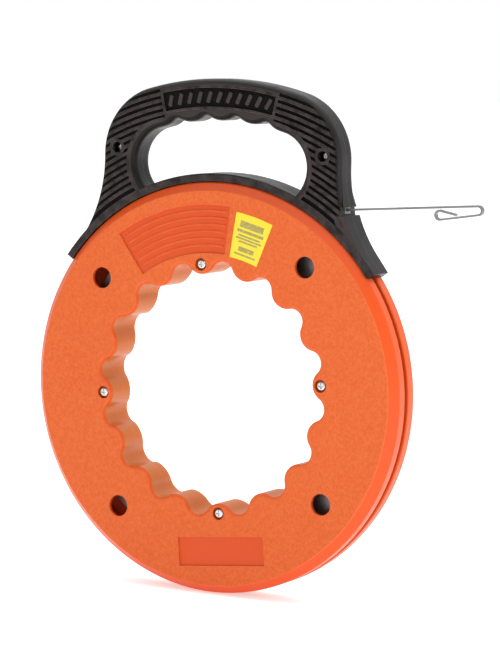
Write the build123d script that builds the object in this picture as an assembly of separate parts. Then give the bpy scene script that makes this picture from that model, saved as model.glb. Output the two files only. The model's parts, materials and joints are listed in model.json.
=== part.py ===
from build123d import *
import os
from math import acos, atan2, cos, degrees, floor, hypot, radians, sin, sqrt, tan

# Fish tape reel. Millimetres.
#
# Everything is drawn lying down: the reel's axis is local Z, the front faces up and the
# handle points along local +Y. save() stands it up, so that in the part's own frame +X is
# to the right, -Y faces the user, +Z is up, and the origin is the middle of the hand grip.
# Angles on the case count from its own reference spoke, which case_turn puts in place.

# ---- case ----
case_radius = 152.4            # 12 in across
case_thickness = 36.0
wall = 3.0
bevel_width = 6.4
bevel_depth = 6.8
slot_side_clearance = 1.0      # the tape comes out of a gap all round the rim
rim_round = 1.0
case_turn = 5.9                # turn of the case's pattern from upright at rest, degrees

# ---- hand hole, with its scalloped wall ----
lobe_count = 16
lobe_tip_radius = 84.8
lobe_depth = 9.7
lobe_notch_arc = 9.0
hub_edge_round = 2.9
dish_margin = 3.5              # the rear face is dished around the hand hole
dish_depth = 9.0

# ---- openings and marks of the case ----
hole_count = 4
sight_hole_radius = 7.94       # 5/8 in across, in the front half only
sight_hole_inset = 24.4        # from the face's outer edge to the hole's middle
case_screw_setback = 7.4       # from the lobe's tip to the screw's axis
mark_recess_depth = 1.1
mark_ridge_height = 0.5
mark_ridge_width = 1.3
arc_recess_margin = (6.0, 10.0)    # from the hand hole and from the face's outer edge
arc_recess_middle = 99.0
arc_recess_span = 42.0
arc_ridge_count = 6
plate_recess = (72.0, 21.5)
plate_recess_angle = 270.0
label_margin = (5.2, 12.8)     # from the hand hole and from the face's outer edge
label_middle = 68.8
label_span = 13.4
label_thickness = 0.25

# ---- case screws and their inserts ----
case_shank_radius = 2.0
case_head_radius = 3.7
case_head_height = 2.4
case_screw_seat = 3.4          # depth of the counterbore below the face
case_screw_reach = 6.4         # into the insert
case_seat_radius = 4.7         # the counterbore
case_boss_radius = 7.2
insert_radius = 3.0
insert_length = 8.0
hole_clearance = 0.3

# ---- tape ----
tape_thickness = 1.5
tape_width = 3.2               # 1/8 in
coil_hub_gap = 4.0             # from the hub's wall to the first turn
coil_line_gap = 2.0            # from the last turn to the tape's line out
coil_layers = 3
turn_gap = 0.12
layer_gap = 0.4
coil_start_angle = 31.6

# ---- inner end of the tape ----
anchor_angle = 22.5
anchor_setback = 6.2           # from the hub's wall to the anchor's axis
anchor_boss_radius = 4.2
spigot_radius = 2.6
clip_clearance = 0.1
clip_wall = 1.3
washer_radius = 4.5
washer_thickness = 0.8
anchor_shank_radius = 1.4
anchor_head_radius = 2.9
anchor_head_height = 1.8
anchor_screw_depth = 8.0
clip_rivet_radius = 0.8
clip_rivet_reach = 4.2

# ---- shoe, the part of the handle that straddles the rim ----
shoe_clearance = 0.4
shoe_thickness = 5.8
shoe_half_angle = 54.6
shoe_step = 0.2                # the shoe is this much lower than the handle's face
shoe_round = 1.2

# ---- handle ----
handle_half_thickness = 12.8
rib_depth = 1.6
edge_round = 6.4
grip_bar_height = 30.7
grip_clear_height = 38.4       # from the shoe's back to the grip's underside
leg_width = 28.0
corner_radius = 50.5
flare_rise = 7.4               # the legs begin to flare this far above the shoe's back
finger_groove_depth = 3.5
finger_groove_arc = 6.0
finger_spacing = 24.76         # along the grip's underside
finger_ridges = 5
opening_end_radius = 26.0
opening_end_run = 3.44         # from the last finger ridge to the round end
rib_pitch = 4.8
rib_width = 2.4
rib_start_gap = 3.4            # from the shoe's band to the first rib
rib_outer_inset = 1.5
panel_margin = (8.6, 4.9)      # from the grip's underside and from its top
panel_half_length = 46.3
panel_frame = 1.7
panel_drop = 0.6
panel_depth = 1.8
panel_bar = (3.0, 8.6)         # plain slanted bars across the panel
panel_bar_height = 1.0
panel_bar_lean = 20.0
panel_bar_count = 11
panel_bar_spacing = 8.22
handle_wall = 4.2              # front wall over the hollows inside
pocket_width = 13.0            # of the hollow inside each leg
pocket_height = 22.0
pocket_drop = 14.0             # from the start of the flare to the hollow's middle

# ---- handle screws ----
handle_screw_inset = 13.2      # from the leg's side
handle_screw_rise = 8.5        # above the start of the flare
handle_shank_radius = 2.0
handle_head_radius = 3.2
handle_head_height = 2.2
screw_recess_radius = 4.0
screw_recess_floor = 4.5
screw_pad_radius = 6.2
nut_across_flats = 7.0
nut_height = 3.2
nut_recess_floor = 4.5

# ---- runners: the T-shaped rails that hold the shoe in the rim's slot ----
runner_side_clearance = 0.6
runner_head_clearance = 0.5
runner_head_height = 3.7
runner_head_half_width = 6.0
runner_tab_height = 4.2
runner_tab_half_width = 4.0
tab_clearance = 0.1
left_runner_end = 141.0        # degrees
right_runner_end = 38.0
runner_exit_gap = (8.0, 6.5)   # degrees from the tape's way through to each runner
left_pin_inset = 6.75          # degrees from a runner's end to its outer pins
right_pin_inset = 4.0
pin_radius = 1.2
pin_half_length = 8.0

# ---- the tape's way out ----
exit_slope = 4.2               # rise of the tape's line to the right, degrees
exit_depth = 24.2              # distance of that line inside the shoe, at its nearest
leader_inner_end = -2.0        # along the line, from its nearest point to the axis
leader_reach = 103.0           # from the notch's floor to the hook's bend
guide_start_gap = 3.2          # from the shoe's back to the guide
guide_wall = (1.2, 1.55)       # across the tape's thickness, across its width
guide_clearance = 0.35
eyelet_lip = (0.5, 0.7)        # beyond the guide, across thickness and width
eyelet_length = 1.2
exit_recess = 2.5              # the notch's floor, behind the leg's face
feed_slot_gap = 1.45           # above and below the tape where it passes the shoe
exit_notch = (-4.2, 1.8)       # below and above the line
exit_notch_depth = 14.0
cheek_width = 9.0              # below the exit the leg's side is square and full width
cheek_step = 0.6               # the cheek is this much lower than the shoe
cheek_fade = 26.0              # above it the square side dies away over this height

# ---- formed hook at the tape's end ----
hook_bend_radius = 3.1
hook_return_turn = 175.2
hook_return_length = 30.0
hook_loop_radius = 3.2
hook_loop_turn = 200.0
hook_free_length = 12.5

# ---- derived: case ----
half_thickness = case_thickness / 2
slot_width = tape_width + 2 * slot_side_clearance
half_slot = slot_width / 2
rail_inner_radius = case_radius - wall
face_radius = case_radius - bevel_width
lobe_notch_radius = lobe_tip_radius + lobe_depth
lobe_pitch = 360 / lobe_count
dish_radius = lobe_notch_radius + dish_margin
sight_hole_circle = face_radius - sight_hole_inset
case_screw_circle = lobe_tip_radius + case_screw_setback
arc_recess = (lobe_notch_radius + arc_recess_margin[0], face_radius - arc_recess_margin[1])
plate_recess_circle = (lobe_notch_radius + face_radius) / 2
label_band = (lobe_notch_radius + label_margin[0], face_radius - label_margin[1])
anchor_circle = lobe_tip_radius + wall + anchor_setback

# ---- derived: shoe and grip ----
shoe_inner_radius = case_radius + shoe_clearance
shoe_outer_radius = shoe_inner_radius + shoe_thickness
shoe_half_width = handle_half_thickness - shoe_step
cheek_half_width = shoe_half_width - cheek_step
leg_foot_radius = (shoe_inner_radius + shoe_outer_radius) / 2 - 1.5
grip_under_radius = shoe_outer_radius + grip_clear_height
grip_top_radius = grip_under_radius + grip_bar_height
grip_to_axis = (grip_top_radius + grip_under_radius) / 2
finger_pitch = degrees(finger_spacing / grip_under_radius)
finger_half_angle = finger_pitch * (finger_ridges - 1) / 2
opening_end_gap = degrees(opening_end_run / grip_under_radius)
opening_end_angle = finger_half_angle + opening_end_gap
opening_end_centre = grip_under_radius - opening_end_radius
opening_half_width = opening_end_radius + opening_end_centre * sin(radians(opening_end_angle))
leg_half_width = opening_half_width + leg_width
flare_start_height = shoe_outer_radius + flare_rise
panel_band = (grip_under_radius + panel_margin[0], grip_top_radius - panel_margin[1])
panel_half_angle = degrees(panel_half_length / panel_band[0])
panel_bar_pitch = degrees(2 * panel_bar_spacing / sum(panel_band))
handle_pocket_floor = handle_half_thickness - handle_wall
handle_screw_x = leg_half_width - handle_screw_inset
handle_screw_height = flare_start_height + handle_screw_rise

# ---- derived: the tape's line out, and the coil that fills the room below it ----
exit_line_radius = shoe_inner_radius - exit_depth
exit_angle = 90 + exit_slope - degrees(acos(exit_line_radius / shoe_inner_radius))
shoe_entry = sqrt(shoe_inner_radius ** 2 - exit_line_radius ** 2)
shoe_exit = sqrt(shoe_outer_radius ** 2 - exit_line_radius ** 2)
guide_start = shoe_exit + guide_start_gap
guide_outer = (tape_thickness + 2 * (guide_clearance + guide_wall[0]),
               tape_width + 2 * (guide_clearance + guide_wall[1]))
end_groove = (guide_outer[0] / 2, guide_outer[1] / 2)
eyelet_outer = (guide_outer[0] + 2 * eyelet_lip[0], guide_outer[1] + 2 * eyelet_lip[1])
left_runner = (exit_angle + runner_exit_gap[0], left_runner_end)
right_runner = (right_runner_end, exit_angle - runner_exit_gap[1])
left_runner_pins = (left_runner[0] + left_pin_inset, sum(left_runner) / 2,
                    left_runner[1] - left_pin_inset)
right_runner_pins = (right_runner[0] + right_pin_inset, right_runner[1] - right_pin_inset)
turn_pitch = tape_thickness + turn_gap
layer_pitch = tape_width + layer_gap
coil_inner_radius = lobe_notch_radius + wall + coil_hub_gap
coil_room = exit_line_radius - tape_thickness / 2 - coil_line_gap - coil_inner_radius
coil_turns = floor((coil_room - tape_thickness) / turn_pitch)


def polar(radius, angle):
    return (radius * cos(radians(angle)), radius * sin(radians(angle)))


def slab(sketch, low, high):
    return extrude(Pos(0, 0, low) * sketch, amount=high - low, dir=(0, 0, 1))


def cylinder(radius, low, high, place=(0, 0)):
    return slab(Pos(*place) * Circle(radius), low, high)


def sector(inner, outer, start, end, centre=(0, 0)):
    """A piece of a ring between two angles."""
    span = end - start
    corners = [polar(radius, angle) for radius, angle in
               ((inner, start), (outer, start), (inner, end), (outer, end))]
    outline = [
        CenterArc((0, 0), inner, start, span),
        Line(corners[2], corners[3]),
        CenterArc((0, 0), outer, start, span),
        Line(corners[0], corners[1]),
    ]
    return Pos(*centre) * make_face(outline)


def ring_of(shape, count, first):
    """Copies of a shape, evenly spaced about the reel's axis."""
    return [Rot(0, 0, first + index * 360 / count) * shape for index in range(count)]


def wave(tip_radius, notch_radius, notch_arc, pitch, first, intervals):
    """Tangent arcs from one lobe's tip to the next. Lobes point at the axis."""
    notch_centre = notch_radius - notch_arc
    offset = tip_radius - notch_arc
    lean = notch_centre * cos(radians(pitch / 2)) - offset
    lobe_centre = (notch_centre ** 2 - offset ** 2) / (2 * lean)
    lobe_arc = lobe_centre - tip_radius
    share = lobe_arc / (lobe_arc + notch_arc)
    edges = []
    for index in range(intervals):
        start = first + index * pitch
        middle = start + pitch / 2
        end = start + pitch
        hollow = Vector(*polar(notch_centre, middle))
        lobes = [Vector(*polar(lobe_centre, angle)) for angle in (start, end)]
        joins = [lobe + (hollow - lobe) * share for lobe in lobes]
        forward = Vector(*polar(1, start + 90))
        backward = Vector(*polar(1, end - 90))
        edges.append(TangentArc(polar(tip_radius, start), joins[0], tangent=forward))
        edges.append(ThreePointArc(joins[0], polar(notch_radius, middle), joins[1]))
        edges.append(TangentArc(polar(tip_radius, end), joins[1], tangent=backward))
    return edges


def scallop(extra):
    """The hand hole's outline, or the same outline moved outwards."""
    return make_face(wave(lobe_tip_radius + extra, lobe_notch_radius + extra,
                          lobe_notch_arc + extra, lobe_pitch, 0, lobe_count))


def strip(start, heading, moves):
    """A flat strip seen edge on: straight lengths and arcs, each tangent to the last."""
    half = tape_thickness / 2
    place = Vector(*start)
    faces = []
    for radius, amount in moves:
        if radius is None:
            faces.append(Pos(place.X, place.Y) * Rot(0, 0, heading)
                         * Pos(amount / 2, 0) * Rectangle(amount, tape_thickness))
            place = place + Vector(*polar(amount, heading))
            continue
        side = 90 if amount > 0 else -90
        centre = place + Vector(*polar(radius, heading + side))
        begin = heading - side
        turned = begin + amount
        low, high = min(begin, turned), max(begin, turned)
        faces.append(sector(radius - half, radius + half, low, high, (centre.X, centre.Y)))
        place = centre + Vector(*polar(radius, turned))
        heading = heading + amount
    return faces


def save(name, shape):
    solids = shape if isinstance(shape, list) else [shape]
    bodies = [body for item in solids for body in item.solids()]
    standing = Pos(0, 0, -grip_to_axis) * Rot(90, 0, 0)
    moved = [standing * body for body in bodies]
    node = moved[0] if len(moved) == 1 else Compound(children=moved)
    export_step(node, f"parts/{name}.step")


# ---------------------------------------------------------------- case


def half_shell(floor_drop):
    """One half of the case, front up: face, bevel and rim in section, turned about the axis."""
    slope = degrees(atan2(bevel_depth, bevel_width))
    bevel_end = half_thickness - bevel_depth
    underside = half_thickness - wall
    section = Polyline(
        (lobe_tip_radius - wall, half_thickness),
        (face_radius, half_thickness),
        (case_radius, bevel_end),
        (case_radius, half_slot),
        (rail_inner_radius, half_slot),
        (rail_inner_radius, bevel_end - wall * tan(radians((90 - slope) / 2))),
        (face_radius - wall * tan(radians(slope / 2)), underside),
        (dish_radius + wall, underside),
        (lobe_tip_radius - wall, underside - floor_drop),
        close=True,
    )
    shell = revolve(Plane.XZ * make_face(section), Axis.Z)
    rims = [edge for edge in shell.edges().filter_by(GeomType.CIRCLE)
            if edge.radius > rail_inner_radius or
            (edge.radius > face_radius - 0.1 and edge.center().Z > half_thickness - 0.1)]
    return fillet(rims, rim_round)


def case_half(floor_drop):
    """A half of the case with its hub wall and screw bosses, drawn front up."""
    hub_wall = slab(scallop(wall), 0, half_thickness - wall / 2)
    boss = cylinder(case_boss_radius, 0, half_thickness - wall / 2, (case_screw_circle, 0))
    half = half_shell(floor_drop) + hub_wall + ring_of(boss, hole_count, 0)
    return half - slab(scallop(0), -1, half_thickness + 1)


def dish():
    """The shallow cone taken out of the rear face around the hand hole."""
    rise = dish_depth / (dish_radius - lobe_tip_radius)
    low = half_thickness - dish_depth - 2 * rise
    high = half_thickness + 2 * rise
    section = Polyline(
        (lobe_tip_radius - 2, low),
        (dish_radius + 2, high),
        (lobe_tip_radius - 2, high),
        close=True,
    )
    return revolve(Plane.XZ * make_face(section), Axis.Z)


def round_hub_edge(half):
    top = half.edges().filter_by_position(Axis.Z, half_thickness - 0.01, half_thickness + 0.01)
    reach = lobe_notch_radius + 0.5
    hub = [edge for edge in top
           if hypot(edge.center().X, edge.center().Y) < reach
           and edge.radius > case_boss_radius]
    return fillet(hub, hub_edge_round)


def front_case():
    half = round_hub_edge(case_half(0.5))
    sight = cylinder(sight_hole_radius, half_thickness - 2 * wall, half_thickness + 1,
                     (sight_hole_circle, 0))
    half -= ring_of(sight, hole_count, 45)
    seat = cylinder(case_seat_radius, half_thickness - case_screw_seat,
                    half_thickness + 1, (case_screw_circle, 0))
    shank = cylinder(case_shank_radius + hole_clearance, -1, half_thickness + 1,
                     (case_screw_circle, 0))
    half -= ring_of(seat + shank, hole_count, 0)
    floor = half_thickness - mark_recess_depth
    start = arc_recess_middle - arc_recess_span / 2
    end = arc_recess_middle + arc_recess_span / 2
    half -= slab(sector(*arc_recess, start, end), floor, half_thickness + 1)
    plate = Rot(0, 0, plate_recess_angle - 90) * Pos(0, plate_recess_circle)
    half -= slab(plate * Rectangle(*plate_recess), floor, half_thickness + 1)
    row = (arc_recess[1] - arc_recess[0]) / (arc_ridge_count + 1)
    for index in range(arc_ridge_count):
        radius = arc_recess[0] + (index + 1) * row
        inset = degrees(row / 2 / radius)
        half += slab(sector(radius, radius + mark_ridge_width, start + inset, end - inset),
                     floor - 0.2, floor + mark_ridge_height)
    return Rot(0, 0, case_turn) * half


def rear_case():
    """Drawn front up like the other half, with the tape's anchor, then turned over."""
    place = polar(anchor_circle, anchor_angle)
    deck = tape_width / 2
    shank_end = deck + clip_clearance + anchor_screw_depth - tape_width
    half = case_half(dish_depth)
    half += cylinder(anchor_boss_radius, deck, half_thickness - wall * 1.4, place)
    half += cylinder(spigot_radius, -deck - clip_clearance, deck + 1, place)
    half -= dish()
    pocket = cylinder(insert_radius, -1, insert_length, (case_screw_circle, 0))
    half -= ring_of(pocket, hole_count, 0)
    half -= cylinder(anchor_shank_radius, -half_thickness, shank_end, place)
    return Rot(0, 0, case_turn) * mirror(half, about=Plane.XY)


def cross_recess(radius, top, place):
    """The cross slot of a screw head."""
    slot = Box(radius * 1.15, radius * 0.28, radius * 0.8)
    return Pos(place[0], place[1], top) * (slot + Rot(0, 0, 90) * slot)


def screw(shank_radius, head_radius, head_height, low, head_low, place):
    """A cross-head screw, head up, with a domed head."""
    top = head_low + head_height
    head = cylinder(head_radius, head_low, top, place)
    rim = head.edges().filter_by_position(Axis.Z, top - 0.01, top + 0.01)
    head = fillet(rim, head_height * 0.6)
    shank = cylinder(shank_radius, low, head_low + 0.1, place)
    return head + shank - cross_recess(head_radius, top, place)


def case_screws():
    head_low = half_thickness - case_screw_seat
    one = screw(case_shank_radius, case_head_radius, case_head_height, -case_screw_reach,
                head_low, (case_screw_circle, 0))
    return ring_of(one, hole_count, case_turn)


def case_inserts():
    sleeve = cylinder(insert_radius, -insert_length, 0, (case_screw_circle, 0))
    bore = cylinder(case_shank_radius, -insert_length - 1, 1, (case_screw_circle, 0))
    return ring_of(sleeve - bore, hole_count, case_turn)


def label():
    start = label_middle - label_span / 2
    sheet = sector(*label_band, start, start + label_span)
    return Rot(0, 0, case_turn) * slab(sheet, half_thickness, half_thickness + label_thickness)


# ---------------------------------------------------------------- wound tape


def coil_layer(level):
    """One flat spiral: half turns whose centres step to and fro by half a pitch."""
    start = (coil_inner_radius + tape_thickness / 2, 0)
    half_turns = []
    for index in range(2 * coil_turns):
        half_turns.append((start[0] + index * turn_pitch / 2, 180))
    spiral = Sketch() + strip(start, 90, half_turns)
    return slab(spiral, level - tape_width / 2, level + tape_width / 2)


def tape_coil():
    middle = (coil_layers - 1) / 2
    layers = [coil_layer((index - middle) * layer_pitch) for index in range(coil_layers)]
    return [Rot(0, 0, case_turn + coil_start_angle) * layer for layer in layers]


def tape_end_clip():
    """A steel eye over the spigot, with a tail that meets the tape's inner end."""
    eye = polar(anchor_circle, anchor_angle)
    inner = spigot_radius + clip_clearance
    ring = Pos(*eye) * (Circle(inner + clip_wall) - Circle(inner))
    end = polar(coil_inner_radius + tape_thickness / 2, coil_start_angle)
    run = Vector(*end) - Vector(*eye)
    side = Vector(*polar(1, coil_start_angle))
    reach = inner + clip_wall / 2
    start = Vector(*eye) + side * reach
    tail = make_face(Polyline(
        start - side * clip_wall / 2,
        Vector(*end) - side * tape_thickness / 2,
        Vector(*end) + side * tape_thickness / 2,
        start + side * clip_wall / 2,
        close=True,
    ))
    flat = ring + (tail - Pos(*eye) * Circle(inner))
    bore = clip_rivet_hole(run, end, clip_rivet_radius)
    clip = slab(flat, -tape_width / 2, tape_width / 2) - bore
    return Rot(0, 0, case_turn) * clip


def clip_rivet_hole(run, end, radius):
    """A round bar through the clip's tail, square to it, in the middle of its length."""
    middle = Vector(*end) - run * 0.4
    outward = degrees(atan2(run.Y, run.X)) - 90
    bar = Rot(0, 90, 0) * Cylinder(radius, clip_rivet_reach)
    return Pos(middle.X, middle.Y, 0) * Rot(0, 0, outward) * bar


def anchor_washer():
    low = tape_width / 2 + clip_clearance
    place = polar(anchor_circle, anchor_angle)
    ring = cylinder(washer_radius, low, low + washer_thickness, place)
    ring -= cylinder(anchor_shank_radius + clip_clearance, low - 1, low + 2, place)
    return Rot(0, 0, case_turn) * ring


def anchor_screw():
    head_low = tape_width / 2 + clip_clearance + washer_thickness
    low = tape_width / 2 - anchor_screw_depth
    one = screw(anchor_shank_radius, anchor_head_radius, anchor_head_height, low, head_low,
                polar(anchor_circle, anchor_angle))
    return Rot(0, 0, case_turn) * one


# ---------------------------------------------------------------- handle


def flare_centre():
    """The legs flare on an arc that leaves them upright and meets the shoe's back."""
    rise = leg_half_width ** 2 + flare_start_height ** 2 - shoe_outer_radius ** 2
    radius = rise / (2 * (shoe_outer_radius - leg_half_width))
    return radius, leg_half_width + radius


def exit_floor_place():
    """How far along the tape's line the notch's floor is: just behind the leg's face."""
    slope = radians(exit_slope)
    radius, centre = flare_centre()
    height = exit_line_radius / cos(slope) + leg_half_width * tan(slope)
    face = centre - sqrt(radius ** 2 - (flare_start_height - height) ** 2)
    return (face + exit_line_radius * sin(slope)) / cos(slope) - exit_recess


exit_floor = exit_floor_place()
leader_straight = exit_floor + leader_reach


def along_exit(along, across):
    """A point by its place along the tape's line out, and its height above that line."""
    foot = Vector(*polar(exit_line_radius, 90 + exit_slope))
    forward = Vector(*polar(along, exit_slope))
    up = Vector(*polar(across, 90 + exit_slope))
    total = foot + forward + up
    return (total.X, total.Y)


def exit_bar(low, high, across, deep):
    """A bar along the tape's line: from low to high, by its height and its width in Z."""
    middle = along_exit((low + high) / 2, (across[0] + across[1]) / 2)
    bar = Box(high - low, across[1] - across[0], deep)
    return Pos(middle[0], middle[1], 0) * Rot(0, 0, exit_slope) * bar


def outline(inset):
    """The outside of grip and legs, closed along the shoe; inset moves it inwards."""
    corner_side = leg_half_width - corner_radius
    corner_height = sqrt((grip_top_radius - corner_radius) ** 2 - corner_side ** 2)
    corner_angle = degrees(atan2(corner_height, corner_side))
    radius, centre = flare_centre()
    foot_angle = degrees(atan2(flare_start_height, centre))
    flare_turn = 180 + foot_angle
    corner = CenterArc((corner_side, corner_height), corner_radius - inset, 0, corner_angle)
    flare = CenterArc((centre, flare_start_height), radius + inset, 180, flare_turn - 180)
    leg = Line(corner @ 0, flare @ 0)
    sole = leg_foot_radius - inset
    shank = Line(flare @ 1, polar(sole, foot_angle))
    right = [shank, flare, leg, corner]
    left = [mirror(edge, about=Plane.YZ) for edge in right]
    top = CenterArc((0, 0), grip_top_radius - inset, corner_angle, 180 - 2 * corner_angle)
    bottom = CenterArc((0, 0), sole, foot_angle, 180 - 2 * foot_angle)
    return make_face(right + left + [top, bottom])


def grip_opening(margin):
    """The hand's opening: round ends, a scalloped top, closed below inside the shoe."""
    first = 90 - opening_end_angle
    tip = grip_under_radius
    notch = grip_under_radius + finger_groove_depth
    if margin:
        top = [CenterArc((0, 0), tip + margin, first, 2 * opening_end_angle)]
    else:
        top = wave(tip, notch, finger_groove_arc, finger_pitch, 90 - finger_half_angle,
                   finger_ridges - 1)
        top.append(CenterArc((0, 0), tip, first, opening_end_gap))
        top.append(CenterArc((0, 0), tip, 90 + finger_half_angle, opening_end_gap))
    reach = opening_end_radius + margin
    below = leg_foot_radius - 1
    centre = polar(opening_end_centre, first)
    cosine = (opening_end_centre ** 2 + reach ** 2 - below ** 2) / (2 * opening_end_centre * reach)
    swing = 180 - degrees(acos(cosine))
    end = CenterArc(centre, reach, first, -swing)
    corner = end @ 1
    foot_angle = degrees(atan2(corner.Y, corner.X))
    floor = CenterArc((0, 0), below, foot_angle, 180 - 2 * foot_angle)
    return make_face(top + [end, mirror(end, about=Plane.YZ), floor])


def arch():
    """Grip and legs of one half, with rounded front edges."""
    height = handle_half_thickness
    block = slab(outline(0) - grip_opening(0), 0, height)
    rims = [edge for edge in block.edges().filter_by_position(Axis.Z, height - 0.01, height + 0.01)
            if hypot(edge.center().X, edge.center().Y) > shoe_outer_radius]
    return fillet(rims, edge_round)


def rib_grooves():
    """Grooves on arcs about the reel's axis, kept off the opening's rim, panel and screws."""
    floor = handle_half_thickness - rib_depth
    field = outline(rib_outer_inset) - grip_opening(edge_round)
    field -= Circle(shoe_outer_radius + 0.2)
    field -= sector(leg_foot_radius, grip_top_radius + 1, 90 - panel_half_angle,
                    90 + panel_half_angle)
    for side in (-1, 1):
        field -= Pos(side * handle_screw_x, handle_screw_height) * Circle(screw_pad_radius)
    ribs = []
    radius = shoe_outer_radius + rib_start_gap
    while radius < grip_top_radius:
        ribs.append(Circle(radius + rib_width) - Circle(radius))
        radius += rib_pitch
    return slab(field - ribs, floor, handle_half_thickness + 1)


def panel_cuts():
    """The panel: a drop around a raised frame, and a deeper floor inside it."""
    top = handle_half_thickness
    inner, outer = panel_band
    edge = degrees(panel_frame / inner)
    low, high = 90 - panel_half_angle, 90 + panel_half_angle
    frame = sector(inner, outer, low, high)
    field = sector(inner + panel_frame, outer - panel_frame, low + edge, high - edge)
    around = sector(grip_under_radius - 1, grip_top_radius + 1, low, high) - frame
    return [slab(around, top - panel_drop, top + 1), slab(field, top - panel_depth, top + 1)]


def panel_bars():
    """A row of plain slanted bars standing on the panel's floor."""
    low = handle_half_thickness - panel_depth - 0.2
    bar = slab(Rot(0, 0, -panel_bar_lean) * RectangleRounded(*panel_bar, 1.0), low,
               low + 0.2 + panel_bar_height)
    middle = (panel_band[0] + panel_band[1]) / 2
    first = -panel_bar_pitch * (panel_bar_count - 1) / 2
    return [Rot(0, 0, first + index * panel_bar_pitch) * Pos(0, middle) * bar
            for index in range(panel_bar_count)]


def shoe_band():
    """The band over the rim, for one half."""
    face = sector(shoe_inner_radius, shoe_outer_radius, 90 - shoe_half_angle,
                  90 + shoe_half_angle)
    band = slab(face, 0, shoe_half_width)
    top = band.edges().filter_by_position(Axis.Z, shoe_half_width - 0.01, shoe_half_width + 0.01)
    rims = [edge for edge in top
            if hypot(edge.center().X, edge.center().Y) > shoe_inner_radius + 1
            or edge.geom_type == GeomType.LINE]
    return fillet(rims, shoe_round)


def exit_cheek():
    """The square, full-width side of the right leg below the tape's exit."""
    strip_face = outline(0) - outline(cheek_width)
    below = along_exit(exit_floor, exit_notch[0])
    reach = 60
    keep = Pos(below[0], below[1]) * Rot(0, 0, exit_slope) * Pos(0, cheek_fade - reach / 2)
    cheek = slab(strip_face & (keep * Rectangle(2 * reach, reach)), 0, cheek_half_width)
    lean = degrees(atan2(edge_round, cheek_fade))
    above = Pos(0, 0, cheek_half_width) * Rot(-lean, 0, 0) * Pos(0, reach / 2, reach / 2)
    return cheek - Pos(below[0], below[1]) * Rot(0, 0, exit_slope) * above * Box(
        2 * reach, reach, reach)


def handle_half():
    """Everything that the two halves of the handle share, front up."""
    half = arch() - rib_grooves()
    half -= panel_cuts()
    half += panel_bars()
    half += shoe_band()
    half += exit_cheek()
    for start, end in (left_runner, right_runner):
        slot = sector(shoe_inner_radius - 1, shoe_inner_radius + runner_tab_height + tab_clearance,
                      start - 0.1, end + 0.1)
        half -= slab(slot, -1, runner_tab_half_width + tab_clearance)
    for angle in left_runner_pins + right_runner_pins:
        place = polar(shoe_inner_radius + runner_tab_height / 2, angle)
        half -= cylinder(pin_radius, -1, pin_half_length, place)
    pocket = [sector(grip_under_radius + 9, grip_top_radius - 7, 90 - 22, 90 + 22)]
    for side in (-1, 1):
        middle = (side * (leg_half_width - leg_width / 2), flare_start_height - pocket_drop)
        pocket.append(Pos(*middle) * RectangleRounded(pocket_width, pocket_height, 3))
    half -= [slab(face, -1, handle_pocket_floor) for face in pocket]
    feed = tape_thickness / 2 + feed_slot_gap
    half -= exit_bar(shoe_entry - 4.5, guide_start + 1, (-feed, feed), 2 * end_groove[1] - 1.4)
    half -= exit_bar(guide_start, exit_floor + 1, (-end_groove[0], end_groove[0]),
                     2 * end_groove[1])
    half -= exit_bar(exit_floor - eyelet_length, exit_floor + 1,
                     (-eyelet_outer[0] / 2, eyelet_outer[0] / 2), eyelet_outer[1])
    half -= exit_bar(exit_floor, exit_floor + exit_notch_depth, exit_notch, 60)
    return half


def handle_front():
    half = handle_half()
    for side in (-1, 1):
        place = (side * handle_screw_x, handle_screw_height)
        half -= cylinder(screw_recess_radius, screw_recess_floor, handle_half_thickness + 1, place)
        half -= cylinder(handle_shank_radius + hole_clearance, -1, handle_half_thickness, place)
    return half


def nut_prism(size, low, high, place):
    prism = RegularPolygon(size / 2, 6, major_radius=False)
    return slab(Pos(*place) * prism, low, high)


def handle_rear():
    half = handle_half()
    half = mirror(half, about=Plane.XY)
    for side in (-1, 1):
        place = (side * handle_screw_x, handle_screw_height)
        half -= cylinder(handle_shank_radius + hole_clearance, -handle_half_thickness, 1, place)
        half -= nut_prism(nut_across_flats + hole_clearance, -handle_half_thickness - 1,
                          -nut_recess_floor, place)
    return half


def handle_screws():
    screws = []
    for side in (-1, 1):
        place = (side * handle_screw_x, handle_screw_height)
        screws.append(screw(handle_shank_radius, handle_head_radius, handle_head_height,
                            -nut_recess_floor - nut_height - 0.5, screw_recess_floor, place))
    return screws


def handle_nuts():
    nuts = []
    for side in (-1, 1):
        place = (side * handle_screw_x, handle_screw_height)
        low, high = -nut_recess_floor - nut_height, -nut_recess_floor
        nut = nut_prism(nut_across_flats, low, high, place)
        nuts.append(nut - cylinder(handle_shank_radius, low - 1, high + 1, place))
    return nuts


# ---------------------------------------------------------------- runners, guide and tape


def runner(span, pin_angles):
    """Head inside the rim, neck through the slot, tab held between the handle's halves."""
    start, end = span
    head_top = rail_inner_radius - runner_head_clearance
    neck = half_slot - runner_side_clearance
    tab_top = shoe_inner_radius + runner_tab_height
    head = slab(sector(head_top - runner_head_height, head_top, start, end),
                -runner_head_half_width, runner_head_half_width)
    web = slab(sector(head_top - 1, shoe_inner_radius + 1, start, end), -neck, neck)
    tab = slab(sector(shoe_inner_radius, tab_top, start, end),
               -runner_tab_half_width, runner_tab_half_width)
    piece = head + web + tab
    for angle in pin_angles:
        place = polar(shoe_inner_radius + runner_tab_height / 2, angle)
        piece -= cylinder(pin_radius, -pin_half_length, pin_half_length, place)
    return piece


def runner_pins():
    return [cylinder(pin_radius, -pin_half_length, pin_half_length,
                     polar(shoe_inner_radius + runner_tab_height / 2, angle))
            for angle in left_runner_pins + right_runner_pins]


def guide_bore(low, high):
    half = tape_thickness / 2 + guide_clearance
    return exit_bar(low, high, (-half, half), tape_width + 2 * guide_clearance)


def tape_guide():
    end = exit_floor - eyelet_length
    sleeve = exit_bar(guide_start, end, (-end_groove[0], end_groove[0]), guide_outer[1])
    return sleeve - guide_bore(guide_start - 1, end + 1)


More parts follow.
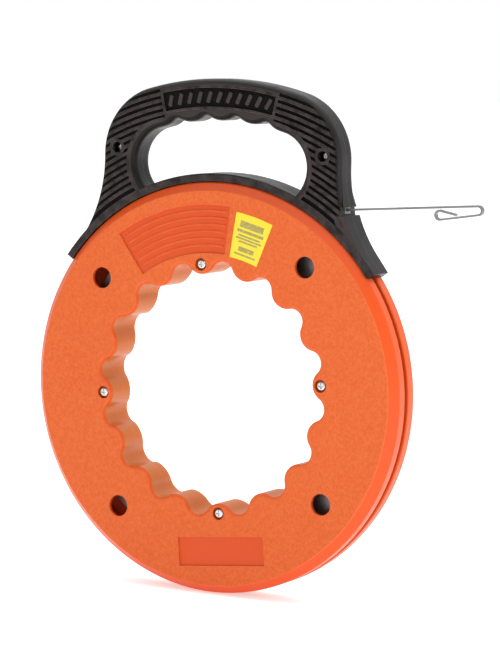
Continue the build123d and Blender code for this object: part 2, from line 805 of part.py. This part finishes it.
def exit_eyelet():
    start = exit_floor - eyelet_length
    half = eyelet_outer[0] / 2
    plate = exit_bar(start, exit_floor, (-half, half), eyelet_outer[1])
    return plate - guide_bore(start - 1, exit_floor + 1)


def tape_leader():
    """The end of the tape: straight through the handle, then bent back into a hook."""
    moves = [
        (None, leader_straight - leader_inner_end),
        (hook_bend_radius, -hook_return_turn),
        (None, hook_return_length),
        (hook_loop_radius, -hook_loop_turn),
        (None, hook_free_length),
    ]
    faces = strip(along_exit(leader_inner_end, 0), exit_slope, moves)
    return slab(Sketch() + faces, -tape_width / 2, tape_width / 2)


def clip_rivet():
    eye = polar(anchor_circle, anchor_angle)
    end = polar(coil_inner_radius + tape_thickness / 2, coil_start_angle)
    run = Vector(*end) - Vector(*eye)
    return Rot(0, 0, case_turn) * clip_rivet_hole(run, end, clip_rivet_radius)


os.makedirs("parts", exist_ok=True)
save("front_case", front_case())
save("rear_case", rear_case())
save("case_screws", case_screws())
save("case_inserts", case_inserts())
save("label", label())
save("tape_coil", tape_coil())
save("tape_end_clip", tape_end_clip())
save("clip_rivet", clip_rivet())
save("anchor_washer", anchor_washer())
save("anchor_screw", anchor_screw())
save("handle_front", handle_front())
save("handle_rear", handle_rear())
save("handle_screws", handle_screws())
save("handle_nuts", handle_nuts())
save("runner_left", runner(left_runner, left_runner_pins))
save("runner_right", runner(right_runner, right_runner_pins))
save("runner_pins", runner_pins())
save("tape_guide", tape_guide())
save("exit_eyelet", exit_eyelet())
save("tape_leader", tape_leader())
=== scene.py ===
import json
from math import cos, radians, sin

import bpy
from mathutils import Matrix, Vector

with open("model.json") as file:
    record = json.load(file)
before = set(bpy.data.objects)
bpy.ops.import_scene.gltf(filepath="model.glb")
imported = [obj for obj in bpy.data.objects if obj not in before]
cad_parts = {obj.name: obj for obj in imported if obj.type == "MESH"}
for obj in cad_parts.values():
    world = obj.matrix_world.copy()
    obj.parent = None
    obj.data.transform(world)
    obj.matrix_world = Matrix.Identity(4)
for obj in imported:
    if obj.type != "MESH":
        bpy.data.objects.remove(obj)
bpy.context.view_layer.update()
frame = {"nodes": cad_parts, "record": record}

# sizes in metres and angles in degrees, in the frame's own axes
REEL_Z = -0.21235               # height of the reel's axis below the grip's middle
CASE_RADIUS = 0.1524
CASE_FACE = 0.018               # flat faces of the case, from its middle
CASE_TURN = 5.9                 # turn of the case at rest
HUB_RADIUS = 0.0955             # the wall round the hand hole lies inside this
RIB_TOP = 0.0128                # outermost ribs of the handle, from its middle
LABEL_TURN = 68.8               # the label's place round the case

# lines of print on the label: radius of each line, half its height, half its width
LABEL_LINES = ((0.1255, 0.0024, 0.0100), (0.1205, 0.0011, 0.0112), (0.1172, 0.0007, 0.0094),
               (0.1150, 0.0007, 0.0108), (0.1128, 0.0007, 0.0080), (0.1075, 0.0017, 0.0066),
               (0.1035, 0.0007, 0.0090))

FLOOR_HALF = 14.0
FLOOR_GAP = 0.0005              # floor below the lowest point of the case
FLOOR_GLOW = 0.46
WORLD_BRIGHT = 1.0
WORLD_DIM = 0.06

CAMERA_AZIMUTH = 28.96
CAMERA_ELEVATION = 5.44
CAMERA_ROLL = 1.4
CAMERA_RIGHT = 0.02997          # camera's place from the middle of the case's front face
CAMERA_UP = 0.04103
CAMERA_BACK = 2.0947
LENS = 153.67                   # mm
SENSOR = 36.0                   # mm


# ---------------------------------------------------------------- node helpers


class Tree:
    """A node tree being filled in, with short names for the nodes used here."""

    def __init__(self, name):
        self.material = bpy.data.materials.new(name)
        self.material.use_nodes = True
        self.nodes = self.material.node_tree.nodes
        self.links = self.material.node_tree.links
        self.nodes.clear()
        self.surface = self.nodes.new("ShaderNodeBsdfPrincipled")
        output = self.nodes.new("ShaderNodeOutputMaterial")
        self.links.new(self.surface.outputs["BSDF"], output.inputs["Surface"])
        coordinates = self.nodes.new("ShaderNodeTexCoord")
        self.place = coordinates.outputs["Object"]
        self.normal = coordinates.outputs["Normal"]

    def put(self, socket, value):
        """Link a socket to another, or give it a number or a colour."""
        if isinstance(value, bpy.types.NodeSocket):
            self.links.new(value, socket)
        elif isinstance(value, tuple):
            lacks_alpha = len(value) == 3 and len(socket.default_value) == 4
            socket.default_value = (*value, 1) if lacks_alpha else value
        else:
            socket.default_value = value

    def set(self, name, value):
        self.put(self.surface.inputs[name], value)

    def math(self, operation, first, second=0.0):
        node = self.nodes.new("ShaderNodeMath")
        node.operation = operation
        self.put(node.inputs[0], first)
        self.put(node.inputs[1], second)
        return node.outputs[0]

    def axes(self, vector):
        split = self.nodes.new("ShaderNodeSeparateXYZ")
        self.links.new(vector, split.inputs[0])
        return tuple(split.outputs)

    def ramp(self, value, low, high, start=0.0, end=1.0):
        """start where value is at low, end where it is at high, and straight between."""
        node = self.nodes.new("ShaderNodeMapRange")
        self.put(node.inputs["Value"], value)
        self.put(node.inputs["From Min"], low)
        self.put(node.inputs["From Max"], high)
        self.put(node.inputs["To Min"], start)
        self.put(node.inputs["To Max"], end)
        return node.outputs["Result"]

    def noise(self, scale, detail=2.0, stretch=None, roughness=0.5):
        node = self.nodes.new("ShaderNodeTexNoise")
        place = self.place
        if stretch:
            mapping = self.nodes.new("ShaderNodeMapping")
            self.links.new(place, mapping.inputs["Vector"])
            mapping.inputs["Scale"].default_value = stretch
            place = mapping.outputs["Vector"]
        self.links.new(place, node.inputs["Vector"])
        node.inputs["Scale"].default_value = scale
        node.inputs["Detail"].default_value = detail
        node.inputs["Roughness"].default_value = roughness
        return node.outputs["Fac"]

    def mix(self, share, first, second):
        node = self.nodes.new("ShaderNodeMix")
        node.data_type = "RGBA"
        self.put(node.inputs["Factor"], share)
        self.put(node.inputs[6], first)
        self.put(node.inputs[7], second)
        return node.outputs[2]

    def edges(self, radius):
        """A mask that is 1 on sharp edges and 0 on open faces, and the rounded normal."""
        bevel = self.nodes.new("ShaderNodeBevel")
        bevel.samples = 6
        bevel.inputs["Radius"].default_value = radius
        geometry = self.nodes.new("ShaderNodeNewGeometry")
        dot = self.nodes.new("ShaderNodeVectorMath")
        dot.operation = "DOT_PRODUCT"
        self.links.new(bevel.outputs["Normal"], dot.inputs[0])
        self.links.new(geometry.outputs["Normal"], dot.inputs[1])
        return self.ramp(dot.outputs["Value"], 0.995, 0.86), bevel.outputs["Normal"]

    def bump(self, height, distance, normal=None):
        node = self.nodes.new("ShaderNodeBump")
        self.links.new(height, node.inputs["Height"])
        node.inputs["Distance"].default_value = distance
        if normal is not None:
            self.links.new(normal, node.inputs["Normal"])
        return node.outputs["Normal"]

    def worn(self, mask, scuff, share):
        """How far use has rubbed each edge: the mask of edges, broken up, times a share."""
        return self.math("MULTIPLY", self.math("MULTIPLY", mask, scuff), share)


def shade(base, factor):
    return tuple(min(1.0, channel * factor) for channel in base)


# ---------------------------------------------------------------- materials


def orange_case():
    """Bright moulded plastic: grained flat faces; bevel, rim and recesses smooth; the hub wall
    painted a darker, duller tan than the face, as painted light and shade.
    """
    face_low, face_high = (0.690, 0.096, 0.010), (0.750, 0.122, 0.017)
    smooth_low, smooth_high = (0.690, 0.070, 0.005), (0.750, 0.088, 0.008)
    # painted light and shade: a darker, duller tan copy of the orange, used on the hub wall
    painted_wall_shading_low, painted_wall_shading_high = (0.500, 0.112, 0.006), (0.560, 0.140, 0.010)
    speckled, rubbed = (0.830, 0.190, 0.052), (0.88, 0.30, 0.13)

    tree = Tree("case_orange")
    across, depth, height = tree.axes(tree.place)
    depth = tree.math("ABSOLUTE", depth)
    height = tree.math("SUBTRACT", height, REEL_Z)
    reach = tree.math("SQRT", tree.math("ADD", tree.math("MULTIPLY", across, across),
                                        tree.math("MULTIPLY", height, height)))
    grained = tree.ramp(depth, CASE_FACE - 0.0007, CASE_FACE - 0.0003)
    below_face = tree.ramp(depth, CASE_FACE - 0.0012, CASE_FACE - 0.0022)
    # mask of the hub wall, where the painted light and shade goes
    hub = tree.math("MULTIPLY", tree.ramp(reach, HUB_RADIUS + 0.003, HUB_RADIUS), below_face)

    drift = tree.noise(11, 3.0)
    speck = tree.ramp(tree.noise(520, 3.0, roughness=0.7), 0.36, 0.64)
    face = tree.mix(drift, face_low, face_high)
    face = tree.mix(tree.math("MULTIPLY", speck, 0.50), face, speckled)
    smooth = tree.mix(drift, smooth_low, smooth_high)
    # the hub wall's darker, duller tan is painted light and shade on the same orange plastic
    wall = tree.mix(drift, painted_wall_shading_low, painted_wall_shading_high)
    colour = tree.mix(hub, tree.mix(grained, smooth, face), wall)
    mask, rounded = tree.edges(0.0005)
    scuff = tree.ramp(tree.noise(110, 4.0), 0.40, 0.68)
    tree.set("Base Color", tree.mix(tree.worn(mask, scuff, 0.50), colour, rubbed))

    gloss = tree.ramp(tree.noise(55, 3.0), 0.3, 0.7, -0.05, 0.06)
    tree.set("Roughness", tree.math("ADD", tree.ramp(grained, 0, 1, 0.36, 0.56), gloss))
    grain_share = tree.ramp(grained, 0, 1, 0.12, 1.0)
    grain = tree.math("MULTIPLY", tree.noise(1250, 3.0, roughness=0.65), grain_share)
    tree.set("Normal", tree.bump(grain, 0.00016, rounded))
    tree.set("Specular IOR Level", 0.30)
    return tree.material


def black_handle():
    """Near-black plastic: grooves darker as painted shade; rib tops and edges lighter grey-brown,
    partly handling wear and partly painted sheen and highlight; satin sides.
    """
    side_low, side_high = (0.0060, 0.0048, 0.0048), (0.0110, 0.0090, 0.0090)
    # rib tops lighter grey-brown: partly handling wear, partly a painted sheen
    crest_wear_and_sheen_low, crest_wear_and_sheen_high = (0.0095, 0.0062, 0.0062), (0.0500, 0.0385, 0.0370)
    # painted shade: groove and panel floors darker than the plastic, the deepest floors darkest
    painted_shade_deep, painted_shade_shallow = (0.0030, 0.0018, 0.0020), (0.0560, 0.0440, 0.0410)
    # lighter grey-brown for rib edges: partly handling wear, partly a painted highlight along the
    # edges
    rubbed = (0.150, 0.125, 0.115)

    tree = Tree("handle_black")
    depth = tree.math("ABSOLUTE", tree.axes(tree.place)[1])
    facing = tree.math("ABSOLUTE", tree.axes(tree.normal)[1])
    top = tree.ramp(depth, RIB_TOP - 0.0007, RIB_TOP - 0.0004)
    shallow = tree.ramp(depth, RIB_TOP - 0.0010, RIB_TOP - 0.0008)
    not_top = tree.math("SUBTRACT", 1.0, top)
    sunk = tree.math("MULTIPLY", tree.ramp(facing, 0.80, 0.95), not_top)

    drift = tree.noise(18, 3.0)
    scuff = tree.ramp(tree.noise(140, 4.0, roughness=0.6), 0.30, 0.62)
    side = tree.mix(drift, side_low, side_high)
    # rib tops: patchy handling wear together with a painted sheen
    crest_wear_and_sheen = tree.mix(scuff, crest_wear_and_sheen_low, crest_wear_and_sheen_high)
    # painted shade in the grooves, graded by depth below the rib tops
    painted_groove_shade = tree.mix(shallow, painted_shade_deep, painted_shade_shallow)
    colour = tree.mix(sunk, tree.mix(top, side, crest_wear_and_sheen), painted_groove_shade)
    mask, rounded = tree.edges(0.0007)
    not_sunk = tree.math("SUBTRACT", 1.0, sunk)
    # edges lightened outside the grooves: handling wear together with a painted highlight
    worn = tree.math("MULTIPLY", tree.worn(mask, scuff, 0.65), not_sunk)
    tree.set("Base Color", tree.mix(worn, colour, rubbed))

    gloss = tree.ramp(tree.noise(70, 3.0), 0.3, 0.7, 0.32, 0.46)
    tree.set("Roughness", tree.math("ADD", gloss, tree.math("MULTIPLY", sunk, 0.45)))
    tree.set("Normal", tree.bump(tree.noise(1100, 3.0, roughness=0.6), 0.00006, rounded))
    tree.set("Specular IOR Level", 0.18)
    return tree.material


def label_print():
    """A yellow film with plain grey bars and rules in place of any wording."""
    film_low, film_high = (0.86, 0.66, 0.010), (0.92, 0.76, 0.020)
    ink_colour = (0.20, 0.17, 0.10)

    tree = Tree("label_yellow")
    x, _, z = tree.axes(tree.place)
    z = tree.math("SUBTRACT", z, REEL_Z)
    turn = radians(CASE_TURN + LABEL_TURN)
    along = tree.math("ADD", tree.math("MULTIPLY", x, cos(turn)),
                      tree.math("MULTIPLY", z, sin(turn)))
    across = tree.math("SUBTRACT", tree.math("MULTIPLY", x, sin(turn)),
                       tree.math("MULTIPLY", z, cos(turn)))
    ink = None
    for radius, half_height, half_width in LABEL_LINES:
        off_line = tree.math("ABSOLUTE", tree.math("SUBTRACT", along, radius))
        in_line = tree.math("LESS_THAN", off_line, half_height)
        in_span = tree.math("LESS_THAN", tree.math("ABSOLUTE", across), half_width)
        bar = tree.math("MULTIPLY", in_line, in_span)
        ink = bar if ink is None else tree.math("MAXIMUM", ink, bar)
    ink = tree.math("MULTIPLY", ink, tree.ramp(tree.noise(700, 3.0), 0.3, 0.5, 0.35, 0.75))
    film = tree.mix(tree.noise(30, 3.0), film_low, film_high)
    tree.set("Base Color", tree.mix(ink, film, ink_colour))
    tree.set("Roughness", tree.ramp(tree.noise(120, 3.0), 0.3, 0.7, 0.30, 0.42))
    tree.set("Normal", tree.bump(tree.noise(260), 0.00003))
    tree.set("Coat Weight", 0.25)
    return tree.material


def nylon():
    """Natural nylon: fine grain, slow drift of colour and gloss, some light let in."""
    base = (0.72, 0.68, 0.58)
    tree = Tree("runner_nylon")
    colour = tree.mix(tree.noise(14, 3.0), shade(base, 0.94), shade(base, 1.06))
    speck = tree.ramp(tree.noise(420), 0.35, 0.75, 0.0, 0.35)
    colour = tree.mix(speck, colour, shade(base, 0.904))
    mask, rounded = tree.edges(0.0006)
    worn = tree.worn(mask, tree.ramp(tree.noise(90, 4.0), 0.35, 0.65), 0.5)
    tree.set("Base Color", tree.mix(worn, colour, shade(base, 1.25)))
    gloss = tree.ramp(tree.noise(60, 3.0), 0.3, 0.7, 0.34, 0.47)
    tree.set("Roughness", tree.math("SUBTRACT", gloss, tree.math("MULTIPLY", worn, 0.12)))
    tree.set("Normal", tree.bump(tree.noise(1100), 0.00005, rounded))
    tree.set("Subsurface Weight", 0.15)
    tree.set("Subsurface Radius", (0.004, 0.0015, 0.0008))
    tree.set("Subsurface Scale", 0.5)
    return tree.material


def metal(name, base, roughness, stretch):
    """Drawn or plated metal: fine lines one way, dull patches and bright edges."""
    tree = Tree(name)
    lines = tree.noise(900, 3.0, stretch)
    patches = tree.ramp(tree.noise(45, 4.0), 0.35, 0.7)
    colour = tree.mix(lines, shade(base, 0.88), shade(base, 1.12))
    colour = tree.mix(tree.math("MULTIPLY", patches, 0.35), colour, shade(base, 0.7))
    mask, rounded = tree.edges(0.0003)
    tree.set("Base Color", tree.mix(tree.math("MULTIPLY", mask, 0.5), colour, shade(base, 1.5)))
    tree.set("Metallic", 1.0)
    tree.set("Roughness", tree.ramp(patches, 0.0, 1.0, roughness, roughness + 0.14))
    tree.set("Normal", tree.bump(lines, 0.00002, rounded))
    return tree.material


finishes = {
    "case_orange": orange_case(),
    "handle_black": black_handle(),
    "label_yellow": label_print(),
    "tape_steel": metal("tape_steel", (0.26, 0.26, 0.27), 0.36, (0.05, 1.0, 1.0)),
    "screw_steel": metal("screw_steel", (0.72, 0.72, 0.73), 0.22, (1.0, 1.0, 1.0)),
    "insert_brass": metal("insert_brass", (0.72, 0.50, 0.18), 0.30, (1.0, 0.1, 1.0)),
    "runner_nylon": nylon(),
    "dark_steel": metal("dark_steel", (0.20, 0.20, 0.21), 0.36, (1.0, 0.2, 1.0)),
}
slots = {part["node"]: part["material_slot"] for part in frame["record"]["subparts"]}
for node, piece in frame["nodes"].items():
    piece.data.materials.clear()
    piece.data.materials.append(finishes[slots[node]])


# ---------------------------------------------------------------- floor and light


def plain_floor():
    """A wide pale floor, level, just under the lowest point of the case."""
    ground = REEL_Z - CASE_RADIUS - FLOOR_GAP
    corners = [(x * FLOOR_HALF, y * FLOOR_HALF, ground)
               for x, y in ((-1, -1), (1, -1), (1, 1), (-1, 1))]
    mesh = bpy.data.meshes.new("floor")
    mesh.from_pydata(corners, [], [(0, 1, 2, 3)])
    floor = bpy.data.objects.new("floor", mesh)
    bpy.context.scene.collection.objects.link(floor)
    tree = Tree("floor_paper")
    tree.set("Base Color", tree.mix(tree.noise(3), (0.90, 0.90, 0.90), (0.93, 0.93, 0.93)))
    tree.set("Roughness", 0.85)
    tree.set("Normal", tree.bump(tree.noise(600), 0.00005))
    tree.set("Emission Color", (1.0, 1.0, 1.0))
    tree.set("Emission Strength", FLOOR_GLOW)
    mesh.materials.append(tree.material)
    return floor


def area_light(name, place, target, width, height, power):
    data = bpy.data.lights.new(name, "AREA")
    data.shape = "RECTANGLE"
    data.size = width
    data.size_y = height
    data.energy = power
    lamp = bpy.data.objects.new(name, data)
    bpy.context.scene.collection.objects.link(lamp)
    lamp.location = place
    lamp.rotation_euler = (Vector(target) - Vector(place)).to_track_quat("-Z", "Y").to_euler()


def soft_world():
    """White all round, but dimmer high on the side that the front of the object faces."""
    world = bpy.data.worlds.new("soft_white")
    bpy.context.scene.world = world
    world.use_nodes = True
    nodes, links = world.node_tree.nodes, world.node_tree.links
    direction = nodes.new("ShaderNodeTexCoord").outputs["Generated"]
    split = nodes.new("ShaderNodeSeparateXYZ")
    links.new(direction, split.inputs[0])
    shares = []
    for axis, low, high in (("Y", 0.15, -0.60), ("Z", 0.05, 0.30)):
        share = nodes.new("ShaderNodeMapRange")
        share.interpolation_type = "SMOOTHSTEP"
        links.new(split.outputs[axis], share.inputs["Value"])
        share.inputs["From Min"].default_value = low
        share.inputs["From Max"].default_value = high
        shares.append(share.outputs["Result"])
    both = nodes.new("ShaderNodeMath")
    both.operation = "MULTIPLY"
    links.new(shares[0], both.inputs[0])
    links.new(shares[1], both.inputs[1])
    dim = nodes.new("ShaderNodeMapRange")
    links.new(both.outputs[0], dim.inputs["Value"])
    dim.inputs["To Min"].default_value = WORLD_BRIGHT
    dim.inputs["To Max"].default_value = WORLD_DIM
    background = nodes["Background"]
    background.inputs["Color"].default_value = (1.0, 1.0, 1.0, 1.0)
    links.new(dim.outputs["Result"], background.inputs["Strength"])


plain_floor()
soft_world()
bpy.context.scene.view_settings.view_transform = "Standard"
middle = (0, 0, REEL_Z * 0.9)
area_light("key", (1.1, -1.7, 1.3), middle, 0.7, 0.7, 9)
area_light("side", (1.9, 0.1, 0.2), middle, 0.5, 1.2, 8)
area_light("overhead", (0, 0.4, 2.7), (0, 0.4, -0.36), 5.0, 5.0, 95)


# ---------------------------------------------------------------- camera


def photo_camera():
    """A long lens in front of the case, to its right and a little above, rolled slightly."""
    azimuth, elevation = radians(CAMERA_AZIMUTH), radians(CAMERA_ELEVATION)
    right = Vector((cos(azimuth), sin(azimuth), 0))
    back = Vector((sin(azimuth) * cos(elevation), -cos(azimuth) * cos(elevation), sin(elevation)))
    up = back.cross(right)
    tilt = Matrix.Rotation(-radians(CAMERA_ROLL), 3, "Y")
    right, up, back = tilt @ right, tilt @ up, tilt @ back
    data = bpy.data.cameras.new("camera")
    data.lens = LENS
    data.sensor_width = SENSOR
    data.clip_start = 0.1
    data.clip_end = 30.0
    camera = bpy.data.objects.new("camera", data)
    bpy.context.scene.collection.objects.link(camera)
    target = Vector((0, -CASE_FACE, REEL_Z))
    place = target + CAMERA_RIGHT * right + CAMERA_UP * up + CAMERA_BACK * back
    turn = Matrix((right, up, back)).transposed()
    camera.matrix_world = Matrix.Translation(place) @ turn.to_4x4()
    bpy.context.scene.camera = camera


photo_camera()
